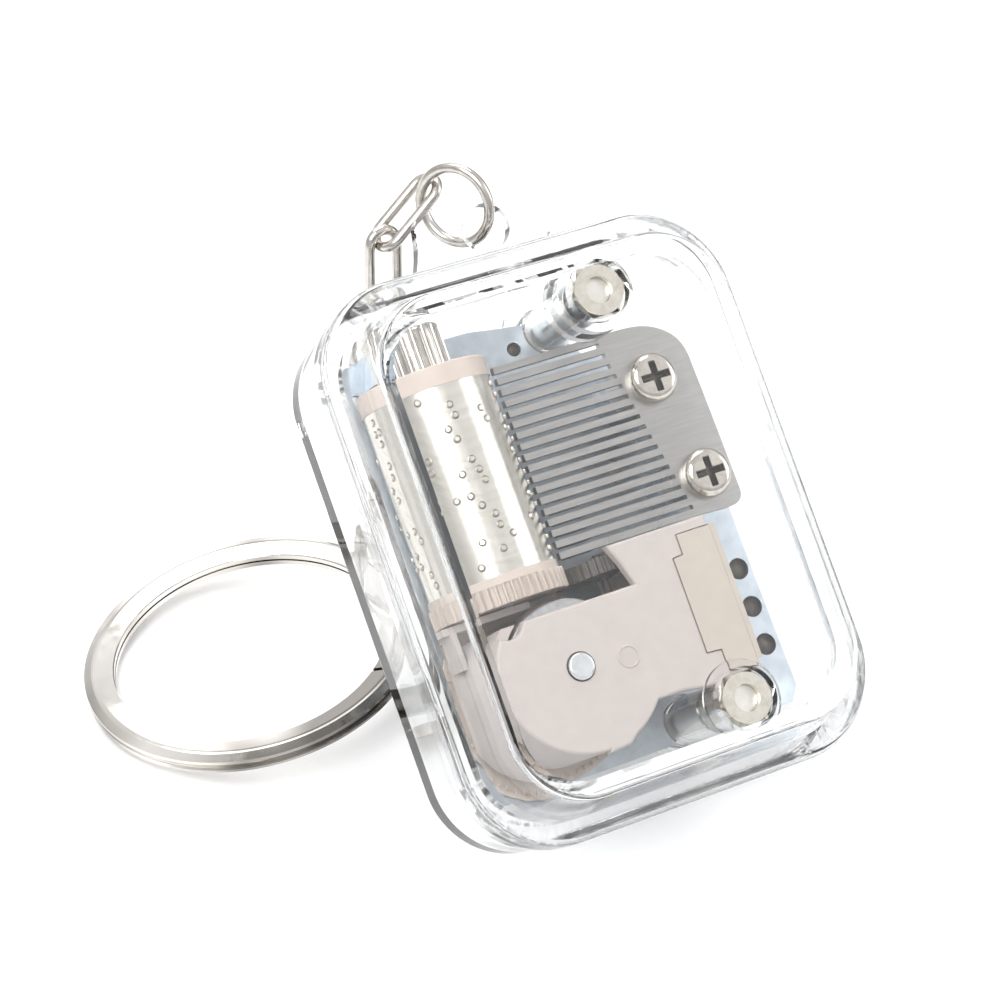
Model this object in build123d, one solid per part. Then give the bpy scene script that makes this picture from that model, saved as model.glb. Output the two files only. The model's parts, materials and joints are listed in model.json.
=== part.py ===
from build123d import *
import os
from math import sin, cos, pi, radians, degrees, sqrt, atan2

os.makedirs("parts", exist_ok=True)

# ---------------------------------------------------------------------------
# Keychain music box: clear two-piece case, 18-note cylinder movement, chain
# and split ring.  Everything inside the case is modelled upright: x across the
# case, y from the front face into the depth, z towards the lug.  The finished
# case is then leaned back onto its winding key.
# ---------------------------------------------------------------------------

# stand
LEAN = 46.0
FLOOR_DROP = 36.305
STAND_X = 11.796
STAND_Y = -16.586

# case
RIM_W, RIM_H, RIM_R = 48.5, 62.0, 10.5
FRONT_W, FRONT_H, FRONT_R = 41.0, 54.6, 8.2
BLOCK_W, BLOCK_H, BLOCK_R = 43.6, 57.2, 9.0
BACK_W, BACK_H, BACK_R = 46.6, 60.2, 9.2
BODY_W, BODY_H, BODY_R = 47.4, 61.0, 9.8
CASE_T = 22.0
STEP_Y = 6.4
SEAM_Y = 8.6
RIM_BACK_Y = 10.6
WALL = 2.0
BOSS_X = 6.1
BOSS_Z = 22.7
BOSS_R = 4.3
BOSS_NECK_R = 2.6

# lug
LUG_Y0, LUG_Y1 = 11.2, 12.8
LUG_BASE, LUG_TOP = 9.9, 7.0
LUG_Z = 38.0
EYE_X, EYE_Z, EYE_R = 1.2, 34.5, 2.65

# fasteners
SCREW_R = 1.45
SCREW_HOLE = 1.55
NUT_AF = 5.5
NUT_T = 2.2
NUT_Y = 0.15

# movement
BED_Y0, BED_Y1 = 17.2, 19.0
CYL_X, CYL_Y = -12.2, 9.4
CYL_R = 6.2
CYL_Z0, CYL_Z1 = -2.4, 18.2
CAP_Z1 = 20.4
ARBOR_R = 0.75
GEAR_Z0, GEAR_Z1 = -5.4, -3.3
MODULE = 0.2825
CYL_TEETH = 46
WHEEL_TEETH = 36
PINION_TEETH = 8
CROWN_TEETH = 68
BARREL_X, BARREL_Z = -9.4, -14.0
BARREL_R = 7.6
BARREL_Y0, BARREL_Y1 = 4.8, 15.0

# comb
NOTES = 18
TOOTH_PITCH = 1.22
COMB_Y0, COMB_Y1 = 7.7, 8.6
COMB_TOP_Z = 19.0

# winding key
KEY_R = 1.5
EAR_R = 4.2
EAR_Y = 32.17

# chain and split ring, standing frame before the final shift
WIRE = 0.6
LINK_HALF = 1.75
LOOSE = 0.1
JUMP_R = 4.27
JUMP_N = (0.823, 0.526, -0.214)
JUMP_LEAN = -31.15
FIRST_LINK_C = (-4.625, 40.337, 51.475)
FIRST_LINK_DIR = (-0.7705, -0.0950, -0.6303)
FIRST_LINK_N = (-0.6278, -0.0580, 0.7762)
FIRST_LINK_LENGTH = 9.353
LINK_COUNT = 5
LINK_TWIST = -88.575
RING_OUT, RING_IN, RING_T = 19.3, 15.8, 2.4
RING_C = (-28.7, 33.3, 4.0695)
RING_N = (-0.151, 0.049, 0.987)

CYL_PITCH_R = MODULE * CYL_TEETH / 2
WHEEL_PITCH_R = MODULE * WHEEL_TEETH / 2
PINION_PITCH_R = MODULE * PINION_TEETH / 2
WHEEL_Y = CYL_Y + 0.6
WHEEL_X = CYL_X + sqrt((CYL_PITCH_R + WHEEL_PITCH_R) ** 2 - (WHEEL_Y - CYL_Y) ** 2)
WHEEL_BEARING = degrees(atan2(WHEEL_Y - CYL_Y, WHEEL_X - CYL_X))
FAN_X = WHEEL_X + WHEEL_PITCH_R + PINION_PITCH_R
FAN_Y = WHEEL_Y


def stand_point(x, y, z):
    """Point of the upright case, seen in the leaning frame (before the shift)."""
    a = radians(LEAN)
    return Vector(x, cos(a) * y + sin(a) * z, FLOOR_DROP - sin(a) * y + cos(a) * z)


def save(name, shape, leaned=True):
    shift = Pos(STAND_X, STAND_Y, 0)
    if leaned:
        shape = shift * Pos(0, 0, FLOOR_DROP) * Rot(-LEAN, 0, 0) * shape
    else:
        shape = shift * shape
    export_step(shape, "parts/" + name + ".step")


def face_plane(y):
    """Sketch plane across the case at depth y: local x = x, local y = z."""
    return Plane(origin=(0, y, 0), x_dir=(1, 0, 0), z_dir=(0, -1, 0))


def slab(w, h, r, y0, y1):
    """Rounded-rectangle slab between two depths."""
    sk = face_plane(y1) * RectangleRounded(w, h, r)
    return extrude(sk, amount=y1 - y0)


def frustum(w0, h0, r0, y0, w1, h1, r1, y1):
    """Rounded-rectangle block whose section changes from y0 to y1."""
    a = face_plane(y0) * RectangleRounded(w0, h0, r0)
    b = face_plane(y1) * RectangleRounded(w1, h1, r1)
    return loft([a, b])


def rod_y(x, z, r, y0, y1):
    """Round bar along the depth."""
    return extrude(face_plane(y1) * Pos(x, z) * Circle(r), amount=y1 - y0)


def rod_z(x, y, r, z0, z1):
    """Round bar along the cylinder axis direction."""
    return extrude(Plane.XY.offset(z0) * Pos(x, y) * Circle(r), amount=z1 - z0)


def plate(points, y0, y1):
    """Flat plate of the given (x, z) outline between two depths."""
    sk = face_plane(y1) * make_face(Polyline(*points, close=True))
    return extrude(sk, amount=y1 - y0)


def gear_profile(teeth, module):
    """Trapezoid-tooth wheel outline with generous backlash."""
    pitch_r = module * teeth / 2
    tip = pitch_r + 0.75 * module
    root = pitch_r - 1.05 * module
    step = 2 * pi / teeth
    pts = []
    for i in range(teeth):
        a = i * step
        base_half = 0.25 * step
        tip_half = 0.09 * step
        for r, b in ((root, a - base_half), (tip, a - tip_half), (tip, a + tip_half), (root, a + base_half)):
            pts.append((r * cos(b), r * sin(b)))
    return make_face(Polyline(*pts, close=True))


# ------------------------------- case ---------------------------------------

def front_cover():
    block = frustum(FRONT_W, FRONT_H, FRONT_R, 0, BLOCK_W, BLOCK_H, BLOCK_R, STEP_Y + 0.4)
    block = fillet(block.faces().sort_by(Axis.Y)[0].edges(), 0.7)
    rim = slab(RIM_W, RIM_H, RIM_R, STEP_Y, SEAM_Y)
    rim = fillet(rim.faces().sort_by(Axis.Y)[0].edges(), 0.7)
    body = block + rim
    body -= frustum(FRONT_W - 4, FRONT_H - 4, FRONT_R - 2, WALL,
                    BLOCK_W - 3.2, BLOCK_H - 3.2, BLOCK_R - 1.6, SEAM_Y + 0.01)
    for s, shoulder in ((1, 6.6), (-1, 2.75)):
        body += rod_y(BOSS_X, s * BOSS_Z, BOSS_R, 0.0, shoulder)
        body += rod_y(BOSS_X, s * BOSS_Z, BOSS_NECK_R, 0.0, SEAM_Y)
        body -= rod_y(BOSS_X, s * BOSS_Z, SCREW_HOLE, -1, SEAM_Y + 1)
        body -= rod_y(BOSS_X, s * BOSS_Z, NUT_AF / sqrt(3) + 0.15, -1, NUT_Y + NUT_T)
    return body


def lug():
    """Eye plate on the top edge with hollow flanks."""
    z0 = RIM_H / 2 - 1.0
    right = [(LUG_BASE, z0 + 0.4), (LUG_BASE - 1.9, z0 + 2.2), (LUG_TOP + 0.1, z0 + 4.6), (LUG_TOP - 0.3, LUG_Z - 1.6)]
    outline = [Line((-LUG_BASE, z0), (LUG_BASE, z0)), Line((LUG_BASE, z0), right[0])]
    outline.append(Spline(*right, tangents=((-1, 0.25), (-0.15, 1))))
    outline.append(RadiusArc(right[-1], (LUG_TOP - 2.3, LUG_Z), -2.2))
    outline.append(Line((LUG_TOP - 2.3, LUG_Z), (2.3 - LUG_TOP, LUG_Z)))
    outline.append(RadiusArc((2.3 - LUG_TOP, LUG_Z), (-right[-1][0], right[-1][1]), -2.2))
    left = [(-x, z) for x, z in reversed(right)]
    outline.append(Spline(*left, tangents=((-0.15, -1), (-1, -0.25))))
    outline.append(Line((-LUG_BASE, right[0][1]), (-LUG_BASE, z0)))
    sk = face_plane(LUG_Y1) * make_face(outline)
    body = extrude(sk, amount=LUG_Y1 - LUG_Y0)
    return body - rod_y(EYE_X, EYE_Z, EYE_R, LUG_Y0 - 1, LUG_Y1 + 1)


def back_cover():
    rim = slab(RIM_W, RIM_H, RIM_R, SEAM_Y, RIM_BACK_Y)
    rim = fillet(rim.faces().sort_by(Axis.Y)[-1].edges(), 0.7)
    tub = frustum(BODY_W, BODY_H, BODY_R, RIM_BACK_Y - 0.8, BACK_W, BACK_H, BACK_R, CASE_T)
    tub = fillet(tub.faces().sort_by(Axis.Y)[-1].edges(), 1.1)
    body = rim + tub + lug()
    body -= frustum(BODY_W - 4, BODY_H - 4, BODY_R - 2, SEAM_Y - 0.01,
                    BACK_W - 4, BACK_H - 4, BACK_R - 2, CASE_T - WALL)
    for s in (1, -1):
        body += rod_y(BOSS_X, s * BOSS_Z, BOSS_NECK_R, SEAM_Y, CASE_T - 1.5)
        body += rod_y(BOSS_X, s * BOSS_Z, BOSS_R, CASE_T - WALL - 0.6, CASE_T - 0.5)
        body -= rod_y(BOSS_X, s * BOSS_Z, SCREW_HOLE, SEAM_Y - 1, CASE_T + 1)
        body -= rod_y(BOSS_X, s * BOSS_Z, 2.95, CASE_T - 2.0, CASE_T + 1)
    for x, z in MOUNTS:
        body += rod_y(x, z, 2.0, BED_Y1, CASE_T - 1)
        body -= rod_y(x, z, 1.0, BED_Y1 - 1, CASE_T + 1)
        body -= rod_y(x, z, 1.9, CASE_T - 1.2, CASE_T + 1)
    body -= rod_y(BARREL_X, BARREL_Z, KEY_R + 0.55, CASE_T - 3, CASE_T + 1)
    return body


def pan_screw(x, z, head_y, tip_y, shaft_r, head_r, head_t, toward):
    """Cross-recess pan-head screw along the depth; toward=-1 puts the head at the front."""
    if toward < 0:
        shaft = rod_y(x, z, shaft_r, head_y, tip_y)
        head = rod_y(x, z, head_r, head_y - head_t, head_y)
        rim = head.faces().sort_by(Axis.Y)[0].edges()
        top = head_y - head_t
    else:
        shaft = rod_y(x, z, shaft_r, tip_y, head_y)
        head = rod_y(x, z, head_r, head_y, head_y + head_t)
        rim = head.faces().sort_by(Axis.Y)[-1].edges()
        top = head_y + head_t
    head = fillet(rim, head_t * 0.6)
    body = head + shaft
    arm = head_r * 1.25
    for w, h in ((arm, head_r * 0.3), (head_r * 0.3, arm)):
        body -= Pos(x, top, z) * Box(w, head_t, h)
    return body


def hex_nut(x, z, y0, y1):
    nut = extrude(face_plane(y1) * Pos(x, z) * RegularPolygon(NUT_AF / sqrt(3), 6), amount=y1 - y0)
    cone = rod_y(x, z, NUT_AF / sqrt(3) + 0.05, y0, y1)
    cone = chamfer(cone.faces().sort_by(Axis.Y)[0].edges(), 0.5)
    return (nut & cone) - rod_y(x, z, SCREW_R + 0.02, y0 - 1, y1 + 1)


MOUNTS = ((-15.5, 21.0), (8.0, 6.0), (13.8, -20.6))

# ----------------------------- bedplate -------------------------------------

POST_R = 3.05


def bedplate():
    outline = [(-19.4, 22.8), (-17.8, 24.8), (-3.0, 24.8), (5.8, 23.6), (9.2, 18.8), (12.5, 17.6), (15.0, 13.0),
               (15.4, 3.2), (19.4, 1.6), (19.8, -23.0), (18.6, -24.6), (0.8, -24.8), (-17.0, -24.8), (-19.4, -22.4)]
    bed = plate(outline, BED_Y0, BED_Y1)
    for s in (1, -1):
        bed -= rod_y(BOSS_X, s * BOSS_Z, BOSS_NECK_R + 0.25, BED_Y0 - 1, BED_Y1 + 1)
    bed -= rod_y(BARREL_X, BARREL_Z, KEY_R + 0.05, BED_Y0 - 1, BED_Y1 + 1)
    bed -= rod_y(1.6, 21.6, 0.8, BED_Y0 - 1, BED_Y1 + 1)
    for z in (-8.9, -13.3, -17.7):
        bed -= rod_y(18.0, z, 1.2, BED_Y0 - 1, BED_Y1 - 0.4)
    for x, z in MOUNTS:
        bed -= rod_y(x, z, 0.85, BED_Y0 - 1, BED_Y1 + 1)
    for x, z in COMB_SCREWS:
        pad = rod_y(x, z, 3.2, COMB_Y1, BED_Y0 + 0.5)
        bed += pad
        bed -= rod_y(x, z, 1.25, COMB_Y1 - 1, COMB_Y1 + 5)
    # comb ledge between the two screw pads
    bed += Pos(13.2, (COMB_Y1 + BED_Y0) / 2 + 0.2, 7.2) * Box(3.0, BED_Y0 - COMB_Y1 + 0.4, 8.0)
    # upright with a fluted round head carrying the upper cylinder pivot
    neck = Pos(CYL_X, (CYL_Y + BED_Y1) / 2 - 0.5, 23.2) * Box(4.4, BED_Y1 - CYL_Y - 1.0, 2.8)
    head = rod_z(CYL_X, CYL_Y, POST_R, 20.6, 25.6)
    head = fillet(head.faces().sort_by(Axis.Z)[-1].edges(), 0.9)
    for i in range(16):
        a = 2 * pi * i / 16
        head -= rod_z(CYL_X + (POST_R + 0.05) * cos(a), CYL_Y + (POST_R + 0.05) * sin(a), 0.4, 20.0, 27.0)
    bed += neck + head
    bed -= rod_z(CYL_X, CYL_Y, ARBOR_R + 0.05, 20.0, 24.6)
    # corner stands for the gear housing
    for x, z in HOUSING_FEET:
        bed += rod_y(x, z, 1.5, 14.6, BED_Y0 + 0.5)
    return bed


# ----------------------------- cylinder -------------------------------------

def tune_pins():
    """Pin positions: one staggered melody line per comb tooth."""
    pins = []
    for k in range(NOTES):
        z = COMB_TOP_Z - 0.6 - TOOTH_PITCH * k
        count = 5 + (k * 7) % 3
        for j in range(count):
            a = (k * 97 + j * 360 / count + (k * j * 31) % 47) % 360
            pins.append((z, a))
    return [p for p in pins if CYL_Z0 + 0.5 < p[0] < CYL_Z1 - 0.4]


def cylinder_tube():
    tube = rod_z(CYL_X, CYL_Y, CYL_R, CYL_Z0, CYL_Z1) - rod_z(CYL_X, CYL_Y, CYL_R - 0.45, CYL_Z0 - 1, CYL_Z1 + 1)
    bumps = []
    for z, a in tune_pins():
        spot = Pos(CYL_X, CYL_Y, z) * Rot(0, 0, a) * Pos(CYL_R - 0.1, 0, 0) * Rot(0, 90, 0)
        bumps.append(spot * Cone(0.46, 0.24, 0.7))
    return tube + bumps


def cylinder_end_cap():
    cap = rod_z(CYL_X, CYL_Y, CYL_R + 0.15, CYL_Z1, CAP_Z1)
    cap = fillet(cap.faces().sort_by(Axis.Z)[-1].edges(), 0.25)
    cap += rod_z(CYL_X, CYL_Y, CYL_R - 0.5, CYL_Z1 - 2.0, CYL_Z1)
    return cap - rod_z(CYL_X, CYL_Y, ARBOR_R, 0, 30)


def cylinder_gear():
    gear = extrude(Plane.XY.offset(GEAR_Z0) * Pos(CYL_X, CYL_Y) * gear_profile(CYL_TEETH, MODULE),
                   amount=GEAR_Z1 - GEAR_Z0)
    gear += rod_z(CYL_X, CYL_Y, CYL_R + 0.15, GEAR_Z1, CYL_Z0)
    gear += rod_z(CYL_X, CYL_Y, CYL_R - 0.5, CYL_Z0, CYL_Z0 + 2.0)
    return gear - rod_z(CYL_X, CYL_Y, ARBOR_R, -10, 5)


def cylinder_arbor():
    rod = rod_z(CYL_X, CYL_Y, ARBOR_R, -6.3, 24.4)
    ends = rod.faces().filter_by(Axis.Z).edges()
    return chamfer(ends, 0.15)


# ------------------------------- comb ---------------------------------------

COMB_SCREWS = ((11.4, 12.9), (13.6, 1.4))
COMB_TIP_X = -5.5


def comb_plate():
    bottom = COMB_TOP_Z - NOTES * TOOTH_PITCH + 0.4
    outline = [Line((COMB_TIP_X, COMB_TOP_Z), (9.0, COMB_TOP_Z)),
               Spline((9.0, COMB_TOP_Z), (14.2, 18.0), (16.6, 13.6), tangents=((1, 0), (0, -1))),
               Line((16.6, 13.6), (16.9, -1.2)),
               Spline((16.9, -1.2), (16.0, -2.6), (14.4, bottom - 0.2), tangents=((0, -1), (-1, 0))),
               Line((14.4, bottom - 0.2), (11.0, bottom)),
               Line((11.0, bottom), (COMB_TIP_X, bottom)),
               Line((COMB_TIP_X, bottom), (COMB_TIP_X, COMB_TOP_Z))]
    body = extrude(face_plane(COMB_Y1) * make_face(outline), amount=COMB_Y1 - COMB_Y0)
    for k in range(NOTES - 1):
        z = COMB_TOP_Z - TOOTH_PITCH * (k + 1) + 0.2
        root = 7.0 + 3.9 * k / (NOTES - 2)
        body -= Pos((COMB_TIP_X - 1 + root) / 2, COMB_Y0, z) * Box(root - COMB_TIP_X + 1, 4.0, 0.48)
    for x, z in COMB_SCREWS:
        body -= rod_y(x, z, 1.35, COMB_Y0 - 1, COMB_Y1 + 1)
    return body


def comb_tuning_weights():
    """Lead blocks hanging behind the longest teeth."""
    blocks = []
    for k in range(NOTES - 7, NOTES):
        z = COMB_TOP_Z - TOOTH_PITCH * (k + 0.5) + 0.2
        depth = 1.2 + 0.25 * (k - NOTES + 7)
        blocks.append(Pos(-2.4, COMB_Y1 + depth / 2, z) * Box(3.4, depth, 0.62))
    return Compound(blocks)


# --------------------------- spring and drive -------------------------------

def spring_barrel():
    cup = rod_y(BARREL_X, BARREL_Z, BARREL_R, BARREL_Y0, BARREL_Y1)
    cup = fillet(cup.faces().sort_by(Axis.Y)[0].edges(), 0.5)
    cup -= rod_y(BARREL_X, BARREL_Z, BARREL_R - 0.6, BARREL_Y0 + 0.7, BARREL_Y1 + 1)
    return cup - rod_y(BARREL_X, BARREL_Z, KEY_R + 0.05, 0, 30)


def barrel_gear():
    disc = rod_y(BARREL_X, BARREL_Z, CROWN_R + 0.6, CROWN_Y, CROWN_Y + 0.6)
    disc += rod_y(BARREL_X, BARREL_Z, BARREL_R, BARREL_Y1, CROWN_Y)
    for i in range(CROWN_TEETH):
        a = CROWN_PHASE + 2 * pi * i / CROWN_TEETH
        spot = Pos(BARREL_X + CROWN_R * sin(a), CROWN_Y - 0.28, BARREL_Z + CROWN_R * cos(a)) * Rot(0, degrees(a), 0)
        disc += spot * Box(0.22, 0.66, 0.4)
    return disc - rod_y(BARREL_X, BARREL_Z, KEY_R + 0.05, 0, 30)


CROWN_Y = 16.35
CROWN_R = sqrt((CYL_X - BARREL_X) ** 2 + (-4.4 - BARREL_Z) ** 2)
CROWN_PHASE = atan2(CYL_X - BARREL_X, -4.4 - BARREL_Z)


def mainspring():
    """Flat spring coiled against the inside of the barrel."""
    turns = 7
    coils = []
    for i in range(turns):
        r = BARREL_R - 0.85 - 0.42 * i
        ring = rod_y(BARREL_X, BARREL_Z, r, 6.0, 14.4) - rod_y(BARREL_X, BARREL_Z, r - 0.22, 5.0, 15.4)
        coils.append(ring)
    body = coils[0]
    for ring in coils[1:]:
        body += ring
    for i in range(turns - 1):
        r = BARREL_R - 0.85 - 0.42 * i
        side = 1 if i % 2 == 0 else -1
        body += Pos(BARREL_X + side * (r - 0.3), 10.2, BARREL_Z) * Box(0.35, 8.4, 0.3)
    return body


def winding_arbor():
    """Arbor from the front pivot through the bedplate to the key thread."""
    body = rod_y(BARREL_X, BARREL_Z, KEY_R - 0.02, 5.2, BED_Y1 + 0.6)
    body += rod_y(BARREL_X, BARREL_Z, 0.9, 3.5, 5.2)
    body += rod_y(BARREL_X, BARREL_Z, 1.2, BED_Y1 + 0.6, 26.5)
    body += rod_y(BARREL_X, BARREL_Z, 3.0, 6.4, 14.0)
    return body


def key_stem():
    stem = rod_y(BARREL_X, BARREL_Z, 1.9, 23.0, 31.0)
    stem = chamfer(stem.faces().filter_by(Axis.Y).edges(), 0.25)
    stem -= rod_y(BARREL_X, BARREL_Z, 1.22, 22.0, 26.6)
    return stem - Pos(BARREL_X, 30.0, BARREL_Z) * Box(8.0, 2.4, 1.24)


def key_wing():
    """Butterfly handle: two rounded ears pressed into the stem."""
    ears = []
    for s in (1, -1):
        ear = rod_z(BARREL_X + s * 5.2, EAR_Y, EAR_R, BARREL_Z - 0.6, BARREL_Z + 0.6)
        ear -= rod_z(BARREL_X + s * 5.4, EAR_Y + 0.2, 1.9, BARREL_Z - 1, BARREL_Z + 1)
        ears.append(ear)
    web = Pos(BARREL_X, 31.4, BARREL_Z) * Box(5.6, 5.2, 1.2)
    web += Pos(BARREL_X, 33.2, BARREL_Z) * Box(3.2, 2.6, 1.2)
    return ears[0] + ears[1] + web


# ----------------------------- governor -------------------------------------

def mesh_turn(teeth_a, turn_a, teeth_b, bearing):
    """Turn of wheel b that puts a gap where wheel a, seen in the given bearing, has a tooth."""
    step_a = 360 / teeth_a
    offset = (turn_a - bearing) % step_a
    return bearing + 180 - offset * teeth_a / teeth_b + 180 / teeth_b


WHEEL_TURN = mesh_turn(CYL_TEETH, 0, WHEEL_TEETH, WHEEL_BEARING)
FAN_TURN = mesh_turn(WHEEL_TEETH, WHEEL_TURN, PINION_TEETH, 0)


def governor_wheel():
    """Intermediate wheel between the cylinder gear and the fan pinion."""
    outline = Pos(WHEEL_X, WHEEL_Y) * Rot(0, 0, WHEEL_TURN) * gear_profile(WHEEL_TEETH, MODULE)
    disc = extrude(Plane.XY.offset(GEAR_Z0) * outline, amount=1.7)
    for i in range(5):
        a = 2 * pi * i / 5
        disc -= rod_z(WHEEL_X + 2.9 * cos(a), WHEEL_Y + 2.9 * sin(a), 0.95, -8, 0)
    disc += rod_z(WHEEL_X, WHEEL_Y, 1.0, GEAR_Z0 - 0.4, GEAR_Z0 + 2.0)
    disc += rod_z(WHEEL_X, WHEEL_Y, 0.45, -8.4, -3.1)
    return disc


def fan_shaft():
    """Pinion and pivot shaft of the air brake."""
    outline = Pos(FAN_X, FAN_Y) * Rot(0, 0, FAN_TURN) * gear_profile(PINION_TEETH, MODULE)
    gear = extrude(Plane.XY.offset(GEAR_Z0 - 0.1) * outline, amount=1.9)
    return gear + rod_z(FAN_X, FAN_Y, 0.4, -19.3, -3.1)


def air_brake():
    """Two-bladed fan that limits the playing speed."""
    hub = rod_z(FAN_X, FAN_Y, 0.9, -17.6, -8.2)
    blade = Pos(FAN_X, FAN_Y, -12.9) * Box(6.0, 0.35, 8.6)
    return hub + blade - rod_z(FAN_X, FAN_Y, 0.4, -25, 0)


# ----------------------------- housing --------------------------------------

HOUSING_Y0 = 3.0
HOUSING_Y1 = 4.3
HOUSING_FEET = ((8.0, -4.9), (3.4, -18.2))
HOUSING_R = 9.1


def gear_housing():
    disc = rod_y(BARREL_X, BARREL_Z, HOUSING_R, HOUSING_Y0, HOUSING_Y1)
    disc -= Pos(BARREL_X, HOUSING_Y0, -7.7 + 5) * Box(30, 6, 10)
    block = plate([(-9.4, -19.8), (0.4, -19.8), (9.6, -21.3), (9.6, -3.0), (-2.2, -3.0), (-1.2, -5.4),
                   (-0.5, -7.7), (-9.4, -7.7)], HOUSING_Y0, HOUSING_Y1)
    toe = plate([(-9.4, -19.8), (-2.6, -19.8), (-6.9, -23.2), (-9.4, -23.4)], HOUSING_Y0, HOUSING_Y1)
    body = disc + block + toe
    body = body - rod_y(-15.6, -7.2, 1.9, 0, 30)
    front = body.faces().sort_by(Axis.Y)[0].outer_wire().edges()
    body = fillet(front, 0.35)
    # curved side wall around the barrel
    wall = rod_y(BARREL_X, BARREL_Z, HOUSING_R, HOUSING_Y1 - 0.1, 14.8)
    wall -= rod_y(BARREL_X, BARREL_Z, BARREL_R + 0.35, 0, 30)
    wall -= Pos(BARREL_X + 8, 9, BARREL_Z + 4) * Box(16, 30, 40)
    wall -= Pos(BARREL_X, 9, -7.7 + 10) * Box(40, 30, 20)
    body += wall
    # governor box behind the right-hand part
    box = Pos(5.0, 9.3, -11.3) * Box(9.2, 10.4, 16.6)
    box -= Pos(5.15, 9.3, -12.2) * Box(7.9, 9.0, 12.8)
    box -= Pos(1.6, WHEEL_Y, -4.6) * Box(14.4, 11.4, 2.2)
    box -= Pos(0.2, 9.6, -12.2) * Box(3.0, 9.0, 12.8)
    body += box
    # bearing shelf below the cylinder
    shelf = Pos(CYL_X - 2.7, CYL_Y, -5.98) * Box(8.8, 3.0, 0.74)
    strut = Pos(-18.0, CYL_Y, -8.0) * Box(0.9, 3.0, 4.6)
    body += shelf + strut
    body -= rod_z(CYL_X, CYL_Y, ARBOR_R + 0.06, -7.0, -5.0)
    body -= rod_y(BARREL_X, BARREL_Z, 0.95, 0, HOUSING_Y1 + 1)
    body -= rod_y(BOSS_X, -BOSS_Z, BOSS_NECK_R + 0.2, 0, 20)
    body -= rod_z(WHEEL_X, WHEEL_Y, 0.5, -8.8, -2.8)
    body -= rod_z(FAN_X, FAN_Y, 0.46, -19.5, -2.8)
    body -= plate(COVER_OUTLINE, HOUSING_Y0 - 1, HOUSING_Y0 + 0.7)
    return body


COVER_OUTLINE = [(9.8, -4.1), (5.6, -4.1), (5.6, -6.3), (4.4, -6.4), (4.4, -17.0), (6.1, -17.1), (6.1, -19.4),
                 (9.8, -20.0)]


def governor_cover():
    """Snap-in plate with stepped ends, folded over the side of the housing."""
    inset = [(9.75, -4.22), (5.72, -4.22), (5.72, -6.42), (4.52, -6.52), (4.52, -16.88), (6.22, -16.98),
             (6.22, -19.28), (9.75, -19.88)]
    face = plate(inset, HOUSING_Y0 - 0.15, HOUSING_Y0 + 0.66)
    side = Pos(9.95, 6.6, -11.6) * Box(0.6, 7.6, 15.0)
    tab = Pos(9.9, HOUSING_Y0 + 0.25, -11.6) * Box(0.7, 0.8, 15.0)
    return face + side + tab


def housing_rivet():
    head = rod_y(BARREL_X, BARREL_Z, 1.45, HOUSING_Y0 - 0.45, HOUSING_Y0 - 0.02)
    return fillet(head.faces().sort_by(Axis.Y)[0].edges(), 0.3)


# ----------------------------- chain ----------------------------------------

def stadium_link(a, b, normal, reach_a=None, reach_b=None, half=LINK_HALF, wire=WIRE):
    """Closed wire loop from pivot a to pivot b lying square to normal."""
    reach_a = wire + LOOSE if reach_a is None else reach_a
    reach_b = wire + LOOSE if reach_b is None else reach_b
    u = (b - a).normalized()
    n = (normal - u * normal.dot(u)).normalized()
    length = (b - a).length + reach_a + reach_b
    centre = (a - u * reach_a + b + u * reach_b) * 0.5
    frame = Plane(origin=centre, x_dir=u, z_dir=n)
    straight = length / 2 - half
    side = n.cross(u)
    top = centre + side * half
    path = frame * Pos(0, 0) * SlotCenterToCenter(2 * straight, 2 * half).wire()
    start = Plane(origin=top, x_dir=n, z_dir=u)
    return sweep(start * Circle(wire), path=path, transition=Transition.RIGHT)


def jump_ring(centre, normal):
    frame = Plane(origin=centre, z_dir=normal)
    return frame * Torus(JUMP_R, WIRE)


def turned(axis, ref, angle):
    """Unit vector square to axis, at the given angle from ref."""
    axis = axis.normalized()
    first = (ref - axis * ref.dot(axis)).normalized()
    second = axis.cross(first)
    return first * cos(radians(angle)) + second * sin(radians(angle))


def split_ring():
    """Two flat coils lying on each other, joined along the middle of the strip."""
    half = RING_T / 2
    ridge = RING_IN + 2.3
    coil = [(RING_IN, 0.12), (RING_IN + 0.5, 0.12), (RING_IN + 0.5, 0.04), (RING_OUT - 0.45, 0.04),
            (RING_OUT - 0.1, 0.22), (RING_OUT, 0.4), (RING_OUT - 0.05, half - 0.45), (ridge + 0.25, half - 0.03),
            (ridge, half), (ridge - 0.3, half - 0.02), (RING_IN + 0.12, half - 0.42), (RING_IN, half - 0.55)]
    upper = revolve(Plane.XZ * make_face(Polyline(*coil, close=True)), Axis.Z)
    lower = mirror(upper, Plane.XY)
    # the strip's two free ends, each a slanted gap beside the crossover
    mid = (RING_IN + RING_OUT) / 2
    for turn_angle, z in ((-52, half / 2 + 0.3), (-24, -half / 2 - 0.3)):
        gap = Rot(0, 0, turn_angle) * Pos(mid, 0, z) * Rot(0, 0, 12) * Box(RING_OUT - RING_IN + 2, 0.5, half)
        if z > 0:
            upper -= gap
        else:
            lower -= gap
    core = Cylinder(RING_OUT - 1.0, 0.5) - Cylinder(RING_IN + 1.0, 0.5)
    frame = Plane(origin=RING_C, x_dir=(1, 0, 0.153), z_dir=RING_N)
    return frame * (upper + lower + core)


# ------------------------------ output --------------------------------------

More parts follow.
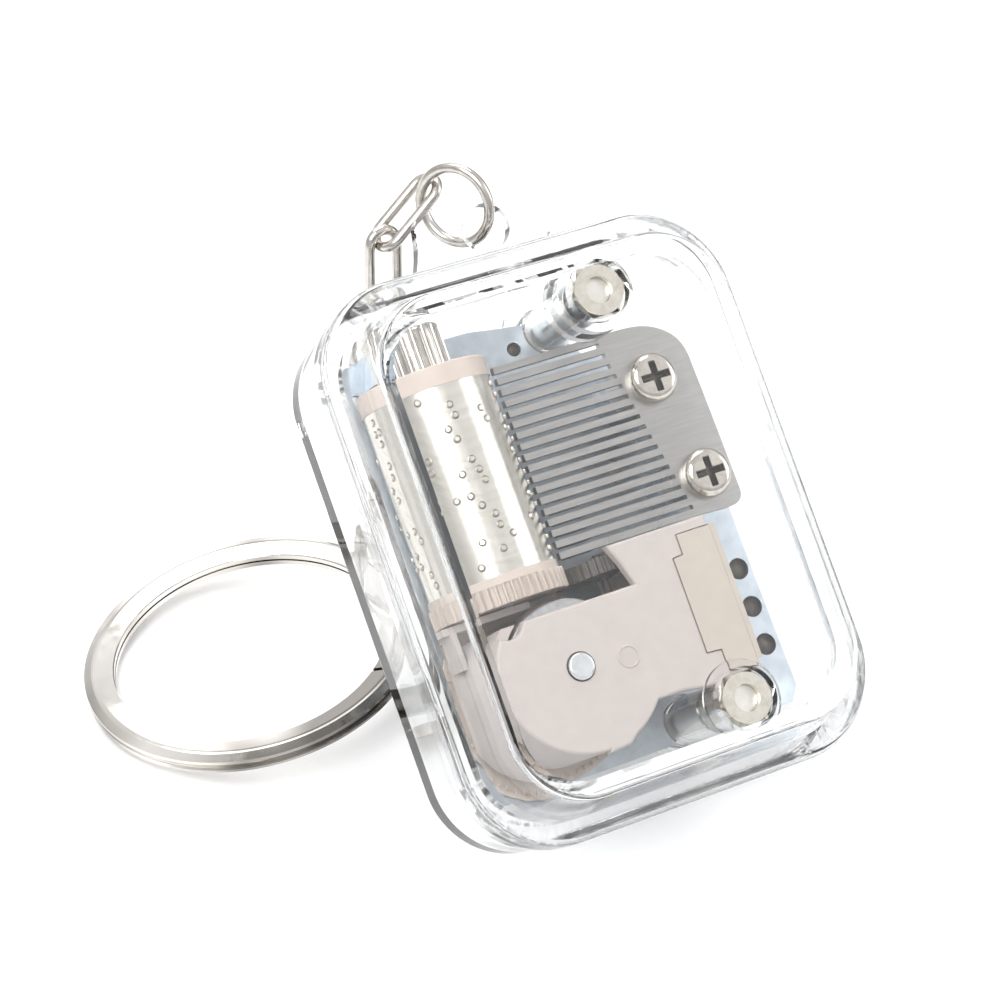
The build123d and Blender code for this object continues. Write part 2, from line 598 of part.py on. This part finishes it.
save("front_cover", front_cover())
save("back_cover", back_cover())
for tag, s in (("upper", 1), ("lower", -1)):
    save("case_screw_" + tag, pan_screw(BOSS_X, s * BOSS_Z, CASE_T - 2.0, 0.9, SCREW_R, 2.7, 1.6, 1))
    save("case_nut_" + tag, hex_nut(BOSS_X, s * BOSS_Z, NUT_Y, NUT_Y + NUT_T))
for i, (x, z) in enumerate(MOUNTS):
    save("movement_screw_%d" % (i + 1), pan_screw(x, z, CASE_T - 1.2, BED_Y0 + 0.4, 0.8, 1.7, 0.9, 1))
save("bedplate", bedplate())
save("cylinder_tube", cylinder_tube())
save("cylinder_end_cap", cylinder_end_cap())
save("cylinder_gear", cylinder_gear())
save("cylinder_arbor", cylinder_arbor())
save("comb", comb_plate())
save("comb_weights", comb_tuning_weights())
for i, (x, z) in enumerate(COMB_SCREWS):
    save("comb_screw_%d" % (i + 1), pan_screw(x, z, COMB_Y0, COMB_Y1 + 4.4, 1.2, 2.7, 1.5, -1))
save("spring_barrel", spring_barrel())
save("barrel_gear", barrel_gear())
save("mainspring", mainspring())
save("winding_arbor", winding_arbor())
save("key_stem", key_stem())
save("key_wing", key_wing())
save("governor_wheel", governor_wheel())
save("fan_shaft", fan_shaft())
save("air_brake", air_brake())
save("gear_housing", gear_housing())
save("governor_cover", governor_cover())
save("housing_rivet", housing_rivet())

# jump ring through the eye of the lug, then the chain down to the split ring
upward = Vector(0, sin(radians(LEAN)), cos(radians(LEAN)))
jump_normal = Vector(*JUMP_N).normalized()
eye = stand_point(EYE_X + 0.15, (LUG_Y0 + LUG_Y1) / 2, EYE_Z)
jump_centre = eye + turned(jump_normal, upward, JUMP_LEAN) * JUMP_R
save("jump_ring", jump_ring(jump_centre, jump_normal), leaned=False)

first_dir = Vector(*FIRST_LINK_DIR).normalized()
first_normal = Vector(*FIRST_LINK_N)
hook = Vector(*FIRST_LINK_C) - first_dir * 2.237
turn = Vector(*FIRST_LINK_C) + first_dir * (FIRST_LINK_LENGTH / 2 - 0.7)
save("link_1", stadium_link(hook, turn, first_normal, reach_a=FIRST_LINK_LENGTH / 2 - 2.237, reach_b=0.7), leaned=False)

ring_x = Vector(1, 0, 0.153).normalized()
ring_end = Vector(*RING_C) + ring_x * ((RING_IN + RING_OUT) / 2)
drop = ring_end - turn
step = drop * (1 / LINK_COUNT)
second_normal = turned(drop, drop.cross(first_normal), 8)
for i in range(LINK_COUNT):
    a = turn + step * i
    b = a + step
    if i < LINK_COUNT - 1:
        normal = turned(drop, second_normal, LINK_TWIST * i)
        save("link_%d" % (i + 2), stadium_link(a, b, normal, reach_a=1.2 if i == 0 else None), leaned=False)
    else:
        save("end_link", stadium_link(a, b, Vector(0, 1, 0), reach_b=2.45, half=2.4), leaned=False)
save("key_ring", split_ring(), leaned=False)
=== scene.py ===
import bpy
import math
from mathutils import Matrix, Vector
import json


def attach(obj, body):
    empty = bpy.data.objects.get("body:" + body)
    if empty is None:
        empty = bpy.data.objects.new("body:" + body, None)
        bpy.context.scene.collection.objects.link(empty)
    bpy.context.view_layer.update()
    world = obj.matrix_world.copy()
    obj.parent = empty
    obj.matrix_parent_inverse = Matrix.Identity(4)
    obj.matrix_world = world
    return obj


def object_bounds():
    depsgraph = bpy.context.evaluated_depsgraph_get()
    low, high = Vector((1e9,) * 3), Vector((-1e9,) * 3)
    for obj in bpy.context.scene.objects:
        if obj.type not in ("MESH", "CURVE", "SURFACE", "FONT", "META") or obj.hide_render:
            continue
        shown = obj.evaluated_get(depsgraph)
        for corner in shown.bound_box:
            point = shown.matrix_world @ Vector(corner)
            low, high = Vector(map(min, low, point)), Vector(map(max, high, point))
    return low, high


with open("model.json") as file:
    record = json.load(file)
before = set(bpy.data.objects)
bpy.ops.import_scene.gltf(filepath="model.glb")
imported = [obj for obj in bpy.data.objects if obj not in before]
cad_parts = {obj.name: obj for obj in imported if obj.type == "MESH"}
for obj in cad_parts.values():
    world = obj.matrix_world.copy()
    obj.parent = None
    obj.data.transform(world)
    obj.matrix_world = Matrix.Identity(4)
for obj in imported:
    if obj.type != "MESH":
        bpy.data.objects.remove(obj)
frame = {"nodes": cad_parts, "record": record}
cad_low, cad_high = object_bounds()
record = frame["record"]
nodes = frame["nodes"]

MM = 0.001
LEAN = math.radians(46)


# ------------------------------------------------------ shader-tree helpers

def new_material(name):
    m = bpy.data.materials.new(name)
    m.use_nodes = True
    m.node_tree.nodes.clear()
    out = m.node_tree.nodes.new("ShaderNodeOutputMaterial")
    return m, m.node_tree, out


def link(tree, a, out_name, b, in_name):
    tree.links.new(a.outputs[out_name], b.inputs[in_name])


def grey(v):
    return (v, v, v)


def principled(tree, color, rough, metallic=0.0):
    p = tree.nodes.new("ShaderNodeBsdfPrincipled")
    p.inputs["Base Color"].default_value = (*color, 1)
    p.inputs["Roughness"].default_value = rough
    p.inputs["Metallic"].default_value = metallic
    return p


def noise(tree, scale, detail=3.0, rough=0.55, stretch=(1, 1, 1), turn=(0, 0, 0)):
    """Noise in object space (metres), optionally stretched along an axis."""
    coord = tree.nodes.new("ShaderNodeTexCoord")
    mapping = tree.nodes.new("ShaderNodeMapping")
    mapping.inputs["Rotation"].default_value = turn
    mapping.inputs["Scale"].default_value = stretch
    link(tree, coord, "Object", mapping, "Vector")
    n = tree.nodes.new("ShaderNodeTexNoise")
    n.inputs["Scale"].default_value = scale
    n.inputs["Detail"].default_value = detail
    n.inputs["Roughness"].default_value = rough
    link(tree, mapping, "Vector", n, "Vector")
    return n


def ramp(tree, source, out_name, stops):
    """Colour ramp over one output; stops are (position, colour) from low to high."""
    r = tree.nodes.new("ShaderNodeValToRGB")
    r.color_ramp.elements[0].position = stops[0][0]
    r.color_ramp.elements[0].color = (*stops[0][1], 1)
    r.color_ramp.elements[1].position = stops[-1][0]
    r.color_ramp.elements[1].color = (*stops[-1][1], 1)
    for position, color in stops[1:-1]:
        e = r.color_ramp.elements.new(position)
        e.color = (*color, 1)
    link(tree, source, out_name, r, "Fac")
    return r


def tint(tree, source, shader, socket, stops):
    """Drives one shader socket from noise through a ramp."""
    link(tree, ramp(tree, source, "Fac", stops), "Color", shader, socket)


def bump(tree, source, shader, strength, distance):
    b = tree.nodes.new("ShaderNodeBump")
    b.inputs["Strength"].default_value = strength
    b.inputs["Distance"].default_value = distance
    link(tree, source, "Fac", b, "Height")
    link(tree, b, "Normal", shader, "Normal")


# --------------------------------------------------------- material makers

def metal(name, light, dark, rough, spread=0.08, scale=900, stretch=(1, 1, 1), turn=(0, 0, 0)):
    """Metal with fine tone and roughness variation and a light surface grain."""
    m, t, out = new_material(name)
    p = principled(t, light, rough, 1.0)
    n = noise(t, scale, 4, 0.6, stretch, turn)
    tint(t, n, p, "Base Color", [(0.3, dark), (0.7, light)])
    broad = noise(t, scale * 0.22, 3, 0.5)
    smooth = max(0.02, rough - spread)
    tint(t, broad, p, "Roughness", [(0.35, grey(smooth)), (0.7, grey(rough + spread))])
    bump(t, n, p, 0.25, 0.01 * MM)
    link(t, p, "BSDF", out, "Surface")
    return m


def plastic(name, light, dark, rough):
    """Moulded plastic with a faint mottle and fine grain."""
    m, t, out = new_material(name)
    p = principled(t, light, rough)
    p.inputs["Specular IOR Level"].default_value = 0.45
    tint(t, noise(t, 700, 4, 0.6), p, "Base Color", [(0.25, dark), (0.75, light)])
    fine = noise(t, 3500, 2, 0.5)
    tint(t, fine, p, "Roughness", [(0.3, grey(rough - 0.06)), (0.7, grey(rough + 0.06))])
    bump(t, fine, p, 0.3, 0.03 * MM)
    link(t, p, "BSDF", out, "Surface")
    return m


def acrylic(name):
    """Clear moulded acrylic: faint flow waviness and hairline scuffs; lets shadow rays through."""
    m, t, out = new_material(name)
    p = principled(t, (0.985, 0.99, 0.992), 0.015)
    p.inputs["IOR"].default_value = 1.49
    p.inputs["Transmission Weight"].default_value = 1.0
    bump(t, noise(t, 95, 2, 0.45), p, 0.18, 0.4 * MM)
    scuff = noise(t, 420, 3, 0.6, (1.0, 6.0, 1.0), (0.3, 0.2, 0.7))
    tint(t, scuff, p, "Roughness", [(0.55, grey(0.006)), (0.8, grey(0.045))])
    clear = t.nodes.new("ShaderNodeBsdfTransparent")
    clear.inputs["Color"].default_value = (0.95, 0.955, 0.96, 1)
    path = t.nodes.new("ShaderNodeLightPath")
    mix = t.nodes.new("ShaderNodeMixShader")
    link(t, path, "Is Shadow Ray", mix, "Fac")
    link(t, p, "BSDF", mix, 1)
    link(t, clear, "BSDF", mix, 2)
    link(t, mix, "Shader", out, "Surface")
    return m


def two_tone_casting(name):
    """Blue-grey zinc casting, warmer and smoother towards the front, where its bearing head is."""
    m, t, out = new_material(name)
    p = principled(t, (0.6, 0.65, 0.7), 0.4, 1.0)
    n = noise(t, 500, 4, 0.6)
    cast = ramp(t, n, "Fac", [(0.3, (0.47, 0.52, 0.57)), (0.7, (0.60, 0.65, 0.70))])
    plated = ramp(t, n, "Fac", [(0.3, (0.46, 0.435, 0.40)), (0.7, (0.60, 0.575, 0.54))])
    coord = t.nodes.new("ShaderNodeTexCoord")
    along = t.nodes.new("ShaderNodeVectorMath")
    along.operation = "DOT_PRODUCT"
    along.inputs[1].default_value = case_y
    link(t, coord, "Object", along, 0)
    step = t.nodes.new("ShaderNodeMapRange")
    plating_ends = case_point(0, 12.9, 0).dot(case_y)
    step.inputs["From Min"].default_value = plating_ends
    step.inputs["From Max"].default_value = plating_ends + 0.4 * MM
    link(t, along, "Value", step, "Value")
    mix = t.nodes.new("ShaderNodeMix")
    mix.data_type = "RGBA"
    color_a, color_b, color_out = 6, 7, 2
    link(t, step, "Result", mix, "Factor")
    link(t, plated, "Color", mix, color_a)
    link(t, cast, "Color", mix, color_b)
    link(t, mix, color_out, p, "Base Color")
    rough = ramp(t, step, "Result", [(0.0, grey(0.2)), (1.0, grey(0.42))])
    link(t, rough, "Color", p, "Roughness")
    bump(t, n, p, 0.25, 0.03 * MM)
    link(t, p, "BSDF", out, "Surface")
    return m


def ring_painted_reflections(name):
    """Plated ring with painted reflections: broad bright and dark patches in its colour stand in for
    reflected light and shade.
    """
    m, t, out = new_material(name)
    p = principled(t, (0.8, 0.77, 0.73), 0.12, 1.0)
    painted_dark_reflection, reflection_mid_tone, painted_bright_reflection = (0.24, 0.225, 0.21), (0.62, 0.59, 0.55), (0.86, 0.83, 0.79)
    # painted reflections: dark, middle and bright patches over broad noise
    tint(t, noise(t, 62, 1.5, 0.4), p, "Base Color", [(0.38, painted_dark_reflection), (0.47, reflection_mid_tone), (0.6, painted_bright_reflection)])
    fine = noise(t, 800, 3, 0.5)
    tint(t, fine, p, "Roughness", [(0.3, grey(0.08)), (0.7, grey(0.16))])
    bump(t, fine, p, 0.2, 0.01 * MM)
    link(t, p, "BSDF", out, "Surface")
    return m


def card_paint(name, value):
    """Matt paint with a faint mottle."""
    m, t, out = new_material(name)
    p = principled(t, grey(value), 0.9)
    tint(t, noise(t, 12, 2), p, "Base Color", [(0.3, grey(value * 0.85)), (0.7, grey(value * 1.15))])
    link(t, p, "BSDF", out, "Surface")
    return m


def pale_floor(name):
    """Near-white matt floor with a little light of its own."""
    m, t, out = new_material(name)
    p = principled(t, grey(0.9), 0.7)
    tint(t, noise(t, 8, 3), p, "Base Color", [(0.3, grey(0.895)), (0.7, grey(0.905))])
    p.inputs["Emission Color"].default_value = (1, 1, 1, 1)
    p.inputs["Emission Strength"].default_value = 0.12
    link(t, p, "BSDF", out, "Surface")
    return m


# -------------------------------------------------------------- case frame

# Places on the case are in millimetres across, into and up it from the middle of its front face.
BARREL_X, BARREL_Y, BARREL_Z = -9.4, 10.0, -14.0
joint = {j["name"]: j for j in record["behaviour"]["joints"]}
case_y = Vector(joint["barrel_spin"]["axis"])
case_z = Vector(joint["cylinder_spin"]["axis"])
case_x = case_y.cross(case_z)
barrel_centre = Vector(joint["barrel_spin"]["pos_m"])
case_turn = Matrix((case_x, case_y, case_z)).transposed().to_4x4()
face_front = Matrix.Rotation(math.radians(90), 4, "X")


def case_point(x, y, z):
    across, into, up = case_x * (x - BARREL_X), case_y * (y - BARREL_Y), case_z * (z - BARREL_Z)
    return barrel_centre + (across + into + up) * MM


# --------------------------------------------------------------- materials

# light tone, dark tone, roughness
METALS = {
    "screw_nickel": ((0.88, 0.86, 0.82), (0.78, 0.75, 0.70), 0.38),
    "nut_nickel": ((0.86, 0.82, 0.74), (0.70, 0.66, 0.58), 0.2),
    "lead": ((0.30, 0.30, 0.31), (0.20, 0.20, 0.21), 0.5),
    "comb_screw": ((0.72, 0.67, 0.61), (0.58, 0.54, 0.49), 0.17),
    "rivet_steel": ((0.85, 0.87, 0.88), (0.70, 0.72, 0.74), 0.3),
    "arbor_steel": ((0.62, 0.62, 0.62), (0.45, 0.45, 0.45), 0.25),
    "barrel_metal": ((0.66, 0.66, 0.67), (0.50, 0.50, 0.51), 0.3),
    "spring_steel": ((0.36, 0.38, 0.43), (0.24, 0.26, 0.31), 0.3),
    "key_nickel": ((0.76, 0.73, 0.68), (0.62, 0.59, 0.55), 0.22),
    "chain_nickel": ((0.72, 0.69, 0.65), (0.55, 0.52, 0.48), 0.2),
    # painted shade for the screw recesses and the rivet's seat
    "painted_shade_dark": ((0.10, 0.09, 0.08), (0.05, 0.045, 0.04), 0.5),
    # painted shade around the foot of each cylinder pin
    "pin_foot_shade_paint": ((0.36, 0.33, 0.29), (0.22, 0.20, 0.17), 0.35),
}
PLASTICS = {
    "housing_plastic": ((0.485, 0.435, 0.41), (0.435, 0.39, 0.368), 0.42),
    "cover_plastic": ((0.475, 0.425, 0.37), (0.43, 0.385, 0.335), 0.42),
    "cap_plastic": ((0.56, 0.475, 0.42), (0.50, 0.425, 0.38), 0.4),
    "gear_plastic": ((0.55, 0.475, 0.42), (0.49, 0.425, 0.375), 0.4),
    "dark_plastic": ((0.10, 0.085, 0.075), (0.07, 0.06, 0.05), 0.45),
}
mats = {name: metal(name, *looks) for name, looks in METALS.items()}
mats.update({name: plastic(name, *looks) for name, looks in PLASTICS.items()})
mats["clear_front"] = acrylic("clear_front")
mats["clear_back"] = acrylic("clear_back")
mats["cast_zinc"] = two_tone_casting("cast_zinc")
mats["ring_nickel"] = ring_painted_reflections("ring_nickel")
# grain stretched in one direction: on the comb, and on the cylinder, which leans with the case
mats["comb_steel"] = metal("comb_steel", (0.45, 0.44, 0.425), (0.37, 0.36, 0.35), 0.33,
                           scale=260, stretch=(1, 10, 10))
mats["cylinder_metal"] = metal("cylinder_metal", (0.80, 0.77, 0.71), (0.70, 0.67, 0.61), 0.22,
                               spread=0.05, scale=240, stretch=(1, 1, 9), turn=(-LEAN, 0, 0))
mats["card"] = card_paint("card", 0.035)
mats["grey_card"] = card_paint("grey_card", 0.2)

slot_of = {s["node"]: s["material_slot"] for s in record["subparts"]}
for name, obj in nodes.items():
    obj.data.materials.clear()
    obj.data.materials.append(mats[slot_of[name]])
nodes["barrel_gear"].data.materials[0] = mats["gear_plastic"]


# ----------------------------------------------------------- small details

def place(obj, name, at, look):
    """Lays an object made around +Z on a case point, with its +Z towards the front."""
    obj.name = name
    obj.matrix_world = Matrix.Translation(case_point(*at)) @ case_turn @ face_front
    obj.data.materials.append(mats[look])
    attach(obj, "case")
    for face in obj.data.polygons:
        face.use_smooth = True


# dark disc standing in for the shade at the bottom of a hole
def shade_disc(name, radius, at):
    bpy.ops.mesh.primitive_cylinder_add(vertices=48, radius=radius, depth=0.6 * MM)
    place(bpy.context.object, name, at, "dark_plastic")


def recess_shade_bar(name, width, height, at):
    """Thin dark strip on the bottom of a screw recess: painted shade in the recess."""
    bpy.ops.mesh.primitive_cube_add(size=1, scale=(width, height, 0.06 * MM))
    obj = bpy.context.object
    obj.data.transform(Matrix.Diagonal((*obj.scale, 1)))
    obj.scale = (1, 1, 1)
    place(obj, name, at, "painted_shade_dark")


def ring(name, radius, wire, segments, sides, at, look):
    bpy.ops.mesh.primitive_torus_add(major_radius=radius, minor_radius=wire,
                                     major_segments=segments, minor_segments=sides)
    place(bpy.context.object, name, at, look)


def pin_foot_painted_shade():
    """Painted shade: a dark ring around the foot of each pin, following the cylinder's surface."""
    axis_x, axis_y, radius = -12.2, 9.4, 6.2
    notes, top_note, pitch = 18, 18.4, 1.22
    lowest, highest = -1.9, 17.8
    # distance from the pin's axis, lift off the surface
    inner, outer = (0.30, 0.05), (0.44, 0.012)
    steps = 20
    verts, faces = [], []
    for k in range(notes):
        z = top_note - pitch * k
        if not lowest < z < highest:
            continue
        count = 5 + (k * 7) % 3
        for j in range(count):
            a = math.radians((k * 97 + j * 360 / count + (k * j * 31) % 47) % 360)
            first = len(verts)
            for step in range(steps):
                b = 2 * math.pi * step / steps
                for r, lift in (inner, outer):
                    turn = a + r * math.cos(b) / radius
                    reach = radius + lift
                    x = axis_x + reach * math.cos(turn)
                    y = axis_y + reach * math.sin(turn)
                    verts.append(case_point(x, y, z + r * math.sin(b)))
            for step in range(steps):
                i0 = first + 2 * step
                i1 = first + 2 * ((step + 1) % steps)
                faces.append((i0, i0 + 1, i1 + 1, i1))
    mesh = bpy.data.meshes.new("pin_foot_painted_shade")
    mesh.from_pydata(verts, [], faces)
    obj = bpy.data.objects.new("pin_foot_painted_shade", mesh)
    bpy.context.scene.collection.objects.link(obj)
    mesh.materials.append(mats["pin_foot_shade_paint"])
    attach(obj, "cylinder")


# painted shade: dark discs on the bottoms of the three blind holes beside the housing
for i, z in enumerate((-8.9, -13.3, -17.7)):
    shade_disc("hole_bottom_%d" % (i + 1), 1.18 * MM, (18.0, 17.95, z))
# painted shade: dark disc on the end of the dowel in the bedplate's small hole near the upper boss
shade_disc("dowel_hole_shade", 0.78 * MM, (1.6, 17.8, 21.6))
# painted shade in the cross recesses of the comb screws: dark strips on their bottoms
ARM_LONG, ARM_WIDE = 3.3 * MM, 0.78 * MM
for i, (x, z) in enumerate(((11.4, 12.9), (13.6, 1.4))):
    recess_shade_bar("recess_%d_a" % (i + 1), ARM_LONG, ARM_WIDE, (x, 6.91, z))
    recess_shade_bar("recess_%d_b" % (i + 1), ARM_WIDE, ARM_LONG, (x, 6.905, z))
# painted shade: dark seat line around the rivet
ring("rivet_seat_shade", 1.52 * MM, 0.07 * MM, 64, 10, (-9.4, 2.99, -14.0), "painted_shade_dark")
# painted shade around the cylinder pins
pin_foot_painted_shade()
# small raised ring mark moulded on the housing
ring("housing_ring_mark", 1.1 * MM, 0.13 * MM, 48, 12, (-4.0, 3.0, -14.6), "housing_plastic")


# ------------------------------------------------------------------- stage

centre = (Vector(cad_low) + Vector(cad_high)) / 2

bpy.ops.mesh.primitive_plane_add(size=6, location=(0, 0, 0))
floor = bpy.context.object
floor.name = "floor"
floor.data.materials.append(pale_floor("pale_floor"))

# studio surround: brightness by height of the direction looked in
SURROUND = ((0.0, 0.85), (0.14, 0.68), (0.32, 0.6), (0.48, 0.88), (0.7, 1.05), (1.0, 0.75))
world = bpy.data.worlds.new("studio")
bpy.context.scene.world = world
world.use_nodes = True
surround = world.node_tree
sky = surround.nodes["Background"]
coord = surround.nodes.new("ShaderNodeTexCoord")
split = surround.nodes.new("ShaderNodeSeparateXYZ")
link(surround, coord, "Generated", split, "Vector")
height = ramp(surround, split, "Z", [(position, grey(value)) for position, value in SURROUND])
link(surround, height, "Color", sky, "Color")
sky.inputs["Strength"].default_value = 0.9


def softbox(name, at, size, power):
    """Rectangular light aimed at the object."""
    light = bpy.data.lights.new(name, "AREA")
    light.shape = "RECTANGLE"
    light.size, light.size_y = size
    light.energy = power
    o = bpy.data.objects.new(name, light)
    bpy.context.scene.collection.objects.link(o)
    o.location = at
    o.rotation_euler = (centre - Vector(at)).to_track_quat("-Z", "Y").to_euler()


def card(name, at, size, paint="card"):
    """Flat card that faces the object, to be reflected in its metal and acrylic."""
    bpy.ops.mesh.primitive_plane_add(size=1, location=at)
    o = bpy.context.object
    o.name = name
    o.scale = (*size, 1)
    o.rotation_euler = (centre - Vector(at)).to_track_quat("Z", "Y").to_euler()
    o.data.materials.append(mats[paint])


softbox("key_light", (-0.25, -0.15, 0.45), (0.3, 0.3), 1.5)
softbox("fill_light", (0.45, -0.2, 0.25), (0.25, 0.3), 0.6)
softbox("top_light", (0.05, 0.25, 0.5), (0.4, 0.25), 1.1)
softbox("back_light", (0.15, 0.42, 0.17), (0.36, 0.2), 0.25)
card("card_left", (-0.36, 0.05, 0.26), (0.06, 0.12))
card("card_right", (0.17, 0.08, 0.06), (0.16, 0.09), "grey_card")
card("card_high", (0.17, 0.175, 0.27), (0.05, 0.05))
card("card_low", (0.085, 0.26, 0.15), (0.03, 0.05))

# ------------------------------------------------------------------ camera

AZIMUTH, ELEVATION = math.radians(27.79), math.radians(36.866)
DISTANCE = 0.34091
LOOK_OFFSET = Vector((0.0053, -0.0017, 0.00086))
forward = Vector((math.sin(AZIMUTH) * math.cos(ELEVATION),
                  math.cos(AZIMUTH) * math.cos(ELEVATION),
                  -math.sin(ELEVATION)))
data = bpy.data.cameras.new("camera")
data.sensor_width = 36.0
data.lens = 114.38
data.clip_start = 0.01
camera = bpy.data.objects.new("camera", data)
bpy.context.scene.collection.objects.link(camera)
camera.location = centre + LOOK_OFFSET - forward * DISTANCE
camera.rotation_euler = forward.to_track_quat("-Z", "Y").to_euler()
bpy.context.scene.camera = camera
bpy.context.scene.view_settings.view_transform = "Standard"
# enough bounces for light to cross the nested acrylic walls
BOUNCES = 24
bpy.context.scene.cycles.max_bounces = BOUNCES
bpy.context.scene.cycles.transmission_bounces = BOUNCES
bpy.context.scene.cycles.transparent_max_bounces = BOUNCES
